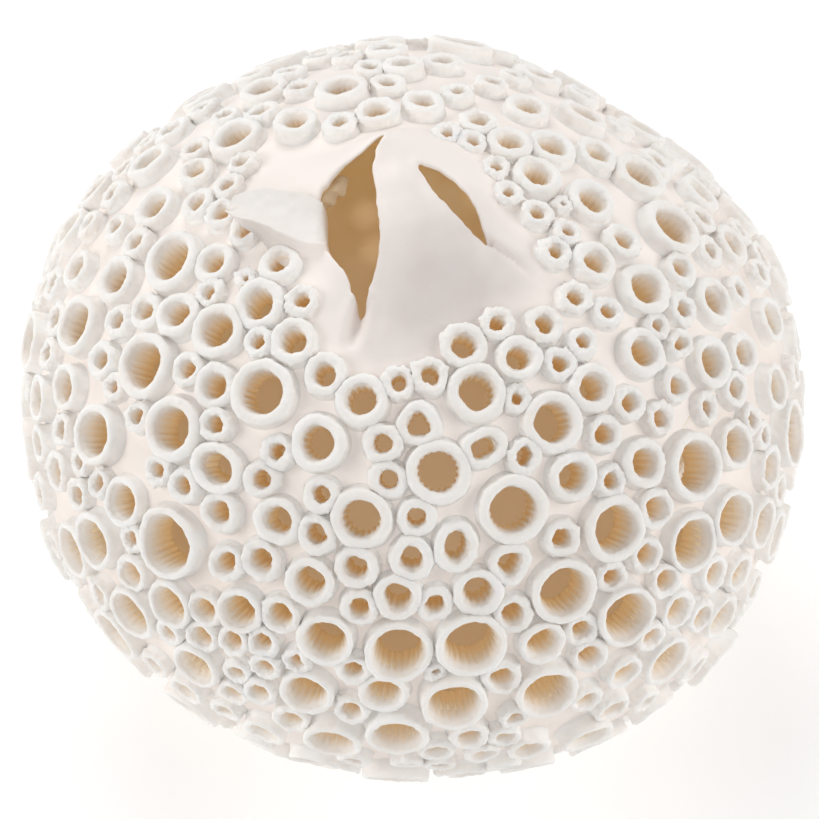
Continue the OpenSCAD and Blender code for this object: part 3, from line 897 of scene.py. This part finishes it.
def crown_height(xy):
    centres = crown_controls()
    h = plate(centres[:, :2], centres[:, 2], xy)
    r = np.linalg.norm(xy, axis=1)
    h *= np.clip((PLAIN_R - r) / 10, 0, 1)
    for a, b, deep, wide, over, lip in GROOVES:
        d, t = to_segment(xy, a, b)
        h -= deep * np.exp(-(d / (wide * (1 + 0.8 * t))) ** 2) * (1 - t) ** 0.8
        h += lip * np.exp(-((d - 2.4 * wide) / 0.8) ** 2) * (1 - t) ** 0.5
        front = (xy[:, 0] - a[0]) * (b[1] - a[1]) - (xy[:, 1] - a[1]) * (b[0] - a[0])
        h += over * np.clip(front / 6 / wide, -0.3, 1) * np.exp(-d / 2.5) * (1 - t) * np.clip(t * 4, 0, 1)
    return dome_z(r) + h


def ragged(loop, seed):
    """A torn edge: a loop pushed a little to and fro."""
    push = [0.15 * noise(np.c_[loop, np.full(len(loop), seed + k * 9.0)], 1.0, 41 + k) for k in (0, 1)]
    return loop + np.stack(push, 1)


def torn_loops():
    """The outlines of the long tear and of the slot, seen from above."""
    tear = smooth_loop([p[:2] for p in TEAR_RIGHT[::-1] + TEAR_BACK[-2::-1] + TEAR_LEFT[::-1]], 0.3)
    slot = smooth_loop([p[:2] for p in SLOT_FRONT + SLOT_FLAP], 0.3)
    return [ragged(tear, 0.0), ragged(slot, 4.0)]


def outside(points, loops):
    return ~inside_loop(points, loops[0]) & ~inside_loop(points, loops[1])


def beside_edges(loops):
    """Rows of points close along both sides of the torn edges."""
    rows = []
    for loop in loops:
        tangent = np.roll(loop, -1, 0) - np.roll(loop, 1, 0)
        across = np.stack([tangent[:, 1], -tangent[:, 0]], 1) / np.linalg.norm(tangent, axis=1)[:, None]
        for d in (0.1, 0.22, 0.38, 0.6, 0.9):
            for sign in (1, -1):
                q = loop + across * d * sign
                rows.append(q[(to_curve(q, loops) > 0.93 * d) & outside(q, loops)])
    return np.vstack(rows)


def open_ground(loops, rim_r):
    """Points over the rest of the crown, closer together near the opening."""
    rng = np.random.RandomState(5)
    grids = []
    for step, lo, hi in ((0.42, 0, 24.5), (0.85, 24.5, rim_r)):
        g = np.arange(-hi, hi + step, step)
        gx, gy = np.meshgrid(g, g)
        gx = gx + (np.arange(len(g)) % 2)[:, None] * step / 2
        q = np.stack([gx.ravel(), gy.ravel()], 1) + rng.uniform(-0.12, 0.12, (gx.size, 2)) * step
        r = np.linalg.norm(q, axis=1)
        grids.append(q[(r >= lo) & (r < hi) & (r < rim_r - 0.45)])
    q = np.vstack(grids)
    return q[(to_curve(q, loops) > 1.15) & outside(q, loops)]


def crown_triangles(loops, rim_r):
    """Triangles between the seam and the torn edges, seen from above."""
    rim = np.stack([rim_r * np.sin(LONS), -rim_r * np.cos(LONS)], 1)
    xy = np.vstack([rim, loops[0], loops[1], beside_edges(loops), open_ground(loops, rim_r)])
    edges, base = [], 0
    for count in (len(rim), len(loops[0]), len(loops[1])):
        edges += [(base + k, base + (k + 1) % count) for k in range(count)]
        base += count
    res = geometry.delaunay_2d_cdt([Vector(p) for p in xy.tolist()], edges, [], 1, 1e-6)
    pts = np.array([v[:] for v in res[0]])
    tris = np.array([f for f in res[2] if len(f) == 3])
    tris = tris[outside(pts[tris].mean(1), loops)]
    a, b, c = pts[tris[:, 0]], pts[tris[:, 1]], pts[tris[:, 2]]
    area = (b[:, 0] - a[:, 0]) * (c[:, 1] - a[:, 1]) - (b[:, 1] - a[:, 1]) * (c[:, 0] - a[:, 0])
    tris[area < 0] = tris[area < 0][:, ::-1]
    return pts, tris[np.abs(area) > 1e-7]


def rounding(share):
    """How far a rounded edge has dropped, 1 at the edge and 0 where the flat face begins."""
    return 1 - np.sqrt(np.clip(1 - (1 - np.clip(share, 0, 1)) ** 2, 0, 1))


def crown_faces(pts, loops):
    """Heights of the crown's top face and under face."""
    d = to_curve(pts, loops)
    r = np.linalg.norm(pts, axis=1)
    z = crown_height(pts)
    near = np.clip((25 - r) / 6, 0, 1)
    z += relief(np.c_[pts, z]) * (1 - 0.75 * near)
    z += (0.14 * noise(np.c_[pts, z], 6.0, 51) + 0.05 * noise(np.c_[pts, z], 2.2, 52)) * near
    z += 0.22 * np.exp(-((d - 0.5) / 0.7) ** 2)
    # the sheet is thin at its torn edges and as thick as the wall at the seam
    upright = WALL_T / np.maximum(np.sin(np.arccos(r / CAP_R)), 0.4)
    thick = 0.75 + 1.35 * np.clip(d / 7, 0, 1) + (upright - 2.1) * np.clip((r - 14) / 10, 0, 1)
    # the left edge is rolled over where the petal was folded back
    roll = np.exp(-((pts[:, 0] + 11.8) ** 2 + (pts[:, 1] - 6.6) ** 2) / 4.2 ** 2)
    thick += 1.6 * roll * np.exp(-d / 5)
    radius = 0.35 + 2.6 * roll
    top = z - rounding(d / radius) * np.minimum(thick / 2, thick / 4 + radius * 0.6)
    lift = rounding(d / 0.6)
    low = np.minimum(z - thick, top - 0.02) * (1 - lift) + top * lift
    return top, low, d, r


def build_crown():
    loops = torn_loops()
    rim_r = profile_point(outer_el(SEAM_HIGH))[0]
    rim_in = profile_point(inner_el(SEAM_HIGH), WALL_T)[0]
    pts, tris = crown_triangles(loops, rim_r)
    z_top, z_low, d, r = crown_faces(pts, loops)
    on_edge = d < 1e-4
    on_rim = r > rim_r - 1e-3
    z_top[on_rim] = SEAM_HIGH
    # far from the opening the under face follows the inside of the dome
    far_in = np.clip((r - 26) / 8, 0, 1)
    z_low = z_low * (1 - far_in) + dome_z(r, WALL_T) * far_in
    shrink = 1 - np.clip((r - 30) / (rim_r - 30), 0, 1) * (1 - rim_in / rim_r)
    low = np.c_[pts * shrink[:, None], z_low]
    low[:, 2] = low[:, 2] * (1 - far_in) + dome_z(np.linalg.norm(low[:, :2], axis=1), WALL_T) * far_in
    low[on_rim, 2] = SEAM_HIGH
    verts = np.vstack([np.c_[pts, z_top], low])
    # the under face shares the torn edges with the top
    n = len(pts)
    remap = np.arange(2 * n)
    remap[n:][on_edge] = np.arange(n)[on_edge]
    under = remap[tris[:, ::-1] + n]
    # end face at the seam
    rim_ids = np.where(on_rim)[0]
    rim_ids = rim_ids[np.argsort(np.arctan2(pts[rim_ids, 1], pts[rim_ids, 0]))]
    nxt = np.roll(rim_ids, -1)
    wall = np.vstack([np.c_[rim_ids, rim_ids + n, nxt], np.c_[nxt, rim_ids + n, nxt + n]])
    faces = np.vstack([tris, under, wall])
    part = np.concatenate([np.zeros(len(tris), int), np.ones(len(under) + len(wall), int)])
    used, again = np.unique(faces, return_inverse=True)
    clays = (torn_clay, inner_clay)
    return make_object("clay_crown", warp(verts[used]), again.reshape(faces.shape), clays, part)


# The petal torn out of the opening and folded outwards: its upper edge, the ridge over
# which it turns down and the foot of the fold, each from the free tip to the root.
LEAF_UPPER = [(-26, 2.5, 88), (-25, 4.5, 88.5), (-21, 5.5, 89), (-17.5, 5, 89), (-15, 4.5, 89),
              (-13, 3.5, 88.5), (-12.5, 3.5, 87.5), (-12, 3, 85.5)]
LEAF_RIDGE = [(-26.5, 2, 88), (-24.5, 0.5, 88.5), (-21.5, -0.5, 88.5), (-19, -2, 88.5), (-15.5, -3.5, 88.5),
              (-13, -4, 88.5), (-12, -3.5, 87.5), (-12, -3.5, 85.5)]
LEAF_FOOT = [(-26, 2, 87.5), (-24, 0, 87), (-21.5, -1.5, 86), (-19.5, -4, 84.5), (-16.5, -6.5, 85),
             (-13, -7.5, 86), (-12, -5.5, 86.5), (-12, -4.5, 85.5)]

# The scrap that hangs inside the back of the opening: where it is joined on, and its ragged tip.
SCRAP_ROOT = [(-13.5, 3, 86.5), (-13.5, 5, 86.5), (-12.5, 7, 86.5), (-10.5, 9, 87)]
SCRAP_TIP = [(-12.5, 3, 85.5), (-12, 4.5, 85.5), (-11, 4.5, 86), (-10.5, 6, 86), (-9.5, 6, 86.5),
             (-9, 8.5, 87)]


def resampled(points, spacing, count):
    """A number of even steps along an open curve."""
    curve = smooth_loop(points, spacing, closed=False)
    return curve[np.round(np.linspace(0, 1, count) * (len(curve) - 1)).astype(int)]


def left_petal():
    """The petal that is folded outwards, as a closed ring of face, side, underside and lip."""
    rows = 80
    upper, ridge, foot = (resampled(e, 0.05, rows) for e in (LEAF_UPPER, LEAF_RIDGE, LEAF_FOOT))
    s = np.linspace(0, 1, rows)[:, None]
    width = np.linalg.norm(ridge - upper, axis=1)[:, None]

    def span(a, b, count):
        t = np.linspace(0, 1, count, endpoint=False)
        return a[:, None] * (1 - t)[None, :, None] + b[:, None] * t[None, :, None], t[None]

    face, t = span(upper, ridge, 40)
    face[:, :, 2] -= 0.09 * width * np.sin(math.pi * t) * (1 - 0.6 * s)
    side, t = span(ridge, foot, 34)
    side[:, :, 2] -= 0.7 * np.sin(math.pi * t) * np.clip(s * 4, 0, 1)
    side[:, :, 0] += 0.5 * np.sin(math.pi * t) * np.clip(s * 4, 0, 1)
    edge = upper - np.array([0, 0, 0.5]) - s * np.array([0, 0, 0.9])
    under, t = span(foot, edge, 22)
    under[:, :, 2] += 0.8 * np.sin(math.pi * t) * (1 - s)
    lip, t = span(edge, upper, 4)
    ring = np.concatenate([face, side, under, lip], 1)
    for _ in range(3):
        ring = (np.roll(ring, 1, 1) + 2 * ring + np.roll(ring, -1, 1)) / 4
    cols = ring.shape[1]
    # both ends close on a point, after two shrinking rings
    for k, end, step in ((0, ring[:1], -1), (rows - 1, ring[-1:], 1)):
        mid = end.mean(1, keepdims=True)
        along = (ring[k] - ring[k - step * 2]).mean(0)
        along = along / np.linalg.norm(along) * 0.22
        caps = [mid + (end - mid) * f + along * g for f, g in ((0.85, 0.6), (0.5, 0.95), (0.02, 1.1))]
        ring = np.concatenate(caps[::-1] + [ring] if step < 0 else [ring] + caps)
    flat = ring.reshape(-1, 3)
    shift = 0.13 * noise(flat, 3.2, 61) + 0.08 * noise(flat, 1.2, 62) + 0.03 * noise(flat, 0.5, 63)
    to_edge = np.linalg.norm(flat[:, None, :] - upper[None, ::4], axis=2).min(1)
    torn = 0.22 * noise(flat + 9, 0.9, 64) * np.exp(-to_edge / 0.5)
    flat = flat + np.array([0.2, 0.3, 1.0]) * shift[:, None] + np.array([0, 1.0, 0.3]) * torn[:, None]
    n = ring.shape[0]
    idx = np.arange(n * cols).reshape(n, cols)
    nxt = np.roll(idx, -1, 1)
    faces = np.stack([idx[:-1], idx[1:], nxt[1:], nxt[:-1]], -1)
    part = np.zeros(faces.shape[:2], int)
    # the side and underside of the petal take the painted shade
    part[:, 38:] = 1
    clays = (petal_clay, fold_painted_shade_clay)
    return make_object("left_petal_leaf", warp(flat), faces.reshape(-1, 4), clays, part.ravel())


def small_flap():
    """A scrap of clay torn down inside the back of the opening."""
    rows, cols = 44, 26
    root, tip = resampled(SCRAP_ROOT, 0.1, rows), resampled(SCRAP_TIP, 0.1, rows)
    t = np.linspace(0, 1, cols)
    top = root[:, None] * (1 - t)[None, :, None] + tip[:, None] * t[None, :, None]
    top[:, :, 2] += 0.3 * np.sin(math.pi * t) + 0.15 * noise(top.reshape(-1, 3), 1.2, 65).reshape(rows, cols)
    across, down = np.meshgrid(t, np.linspace(0, 1, rows))
    border = np.minimum(np.minimum(across, 1 - across) * 3, np.minimum(across, down) * 6)
    under = top.copy()
    under[:, :, 2] -= 0.08 + 0.7 * np.clip(border / 0.5, 0, 1)
    # both faces, and the edge between them
    idx = np.arange(rows * cols).reshape(rows, cols)
    q = np.stack([idx[:-1, :-1], idx[1:, :-1], idx[1:, 1:], idx[:-1, 1:]], -1).reshape(-1, 4)
    rim = np.concatenate([idx[0, :-1], idx[:-1, -1], idx[-1, :0:-1], idx[:0:-1, 0]])
    nxt = np.roll(rim, -1)
    n = rows * cols
    faces = np.vstack([q, q[:, ::-1] + n, np.stack([rim, nxt, nxt + n, rim + n], 1)])
    points = np.vstack([top.reshape(-1, 3), under.reshape(-1, 3)])
    return make_object("back_lip_scrap", warp(points), faces, (scrap_clay,))


# ---------------------------------------- building it

walls = [lower_wall(), wall_band("clay_belly_band", SEAM_LOW, SEAM_MID),
         wall_band("clay_shoulder_band", SEAM_MID, SEAM_HIGH)]
for ob, node in zip(walls, ("lower_bowl", "belly_band", "shoulder_band")):
    cut_holes(ob, every)
    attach(ob, "root")
    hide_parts(node)

crown = build_crown()
cut_holes(crown, every)
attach(crown, "root")
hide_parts("crown_dome", "front_petal", "right_flap", "back_lip", "left_shoulder")
for ob, node in ((left_petal(), "left_petal"), (small_flap(), "back_lip")):
    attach(ob, "root")
    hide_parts(node)

# most collars of each kind in one piece, so that no mesh grows too large
MOST = {"cups": 17, "rings": 28, "pores": 48}
for node in KINDS:
    members = sorted(collars[node], key=lambda b: (b["lon"], b["el"]))
    groups = math.ceil(len(members) / MOST[node.split("_")[1]])
    share = math.ceil(len(members) / groups)
    for g in range(groups):
        name = f"{node}_{g + 1}" if groups > 1 else node + "_fired"
        ob = collar_piece(name, members[g * share:(g + 1) * share])
        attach(ob, "root")
        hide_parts(node)


# ---------------------------------------- floor, light, camera

def area_light(name, place, target, size, watts, colour=(1, 1, 1)):
    data = bpy.data.lights.new(name, "AREA")
    data.shape = "DISK"
    data.size = size
    data.energy = watts
    data.color = colour
    ob = bpy.data.objects.new(name, data)
    ob.location = place
    ob.rotation_euler = (Vector(target) - Vector(place)).to_track_quat("-Z", "Y").to_euler()
    bpy.context.scene.collection.objects.link(ob)


bpy.ops.mesh.primitive_plane_add(size=6, location=(0, 0, 0))
floor = bpy.context.object
floor.name = "floor"
floor_mat, nt, shader = new_material("floor_white")
shader.inputs["Base Color"].default_value = (0.93, 0.93, 0.93, 1)
shader.inputs["Roughness"].default_value = 0.9
shader.inputs["Emission Color"].default_value = (1, 1, 1, 1)
shader.inputs["Emission Strength"].default_value = 0.22
floor.data.materials.append(floor_mat)

world = bpy.data.worlds.new("studio")
bpy.context.scene.world = world
world.use_nodes = True
world.node_tree.nodes["Background"].inputs["Color"].default_value = (1, 0.99, 0.98, 1)
world.node_tree.nodes["Background"].inputs["Strength"].default_value = 0.28

area_light("left", (-0.70, -0.12, 0.42), (0, 0, 0.05), 0.5, 2.4, (1, 0.99, 0.98))
area_light("right", (0.70, -0.08, 0.44), (0, 0, 0.05), 0.5, 2.35, (1, 0.99, 0.98))
area_light("back", (-0.15, 0.62, 0.55), (0, 0, 0.06), 0.5, 2.7)
area_light("front", (0.05, -0.60, 0.68), (0, 0, 0.06), 0.5, 1.45)

cam_data = bpy.data.cameras.new("camera")
cam = bpy.data.objects.new("camera", cam_data)
bpy.context.scene.collection.objects.link(cam)
cam_data.sensor_width = 36
cam_data.lens = 136.5
cam_data.shift_x = -0.0025
cam_data.shift_y = -0.0085
cam_data.dof.use_dof = False
target = Vector((0, 0, CENTRE_Z * MM))
cam.location = target + Vector((0, -math.cos(math.radians(58)), math.sin(math.radians(58)))) * 0.480
cam.rotation_euler = (target - cam.location).to_track_quat("-Z", "Y").to_euler()
bpy.context.scene.camera = cam
bpy.context.scene.view_settings.view_transform = "Standard"
